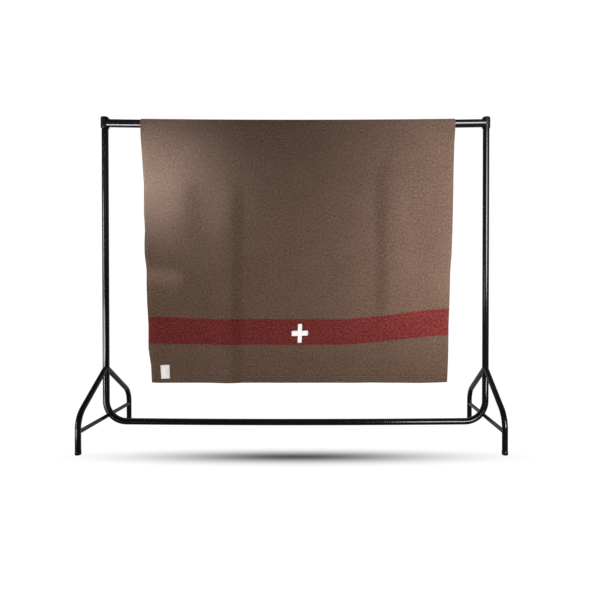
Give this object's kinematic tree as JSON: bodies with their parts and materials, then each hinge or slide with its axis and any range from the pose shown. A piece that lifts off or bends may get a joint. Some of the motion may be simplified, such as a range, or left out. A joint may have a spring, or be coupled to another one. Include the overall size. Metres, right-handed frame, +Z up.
{
  "type": "military wool blanket on a clothes rail",
  "caption": "Brown wool blanket with a woven red stripe and a sewn-on white cross, draped over the round top rail of a black tubular clothes rail that stands on splayed legs.",
  "frame": {"origin": "on the floor, under the middle of the clothes rail", "axes": "+X along the rail, to the right of a viewer who faces the blanket's long front leaf; +Y away from that viewer; +Z up"},
  "size_m": [1.879, 0.5264, 1.544],
  "materials": {
    "wool": "felted woven wool, brown heather, with a red stripe woven in",
    "felt": "white wool felt",
    "tape": "white woven tape",
    "paint": "semi-gloss black paint on steel tube",
    "plastic": "moulded black plastic"
  },
  "bodies": {
    "root": {"blanket": "wool", "cross_patch": "felt", "label": "tape", "top_rail": "paint", "base_rail": "paint", "corner_left": "plastic", "corner_right": "plastic", "upright_left": "paint", "upright_right": "paint", "brace_left": "paint", "brace_right": "paint", "leg_front_left": "paint", "leg_back_left": "paint", "leg_front_right": "paint", "leg_back_right": "paint", "foot_front_left": "plastic", "foot_back_left": "plastic", "foot_front_right": "plastic", "foot_back_right": "plastic"}
  },
  "joints": []
}
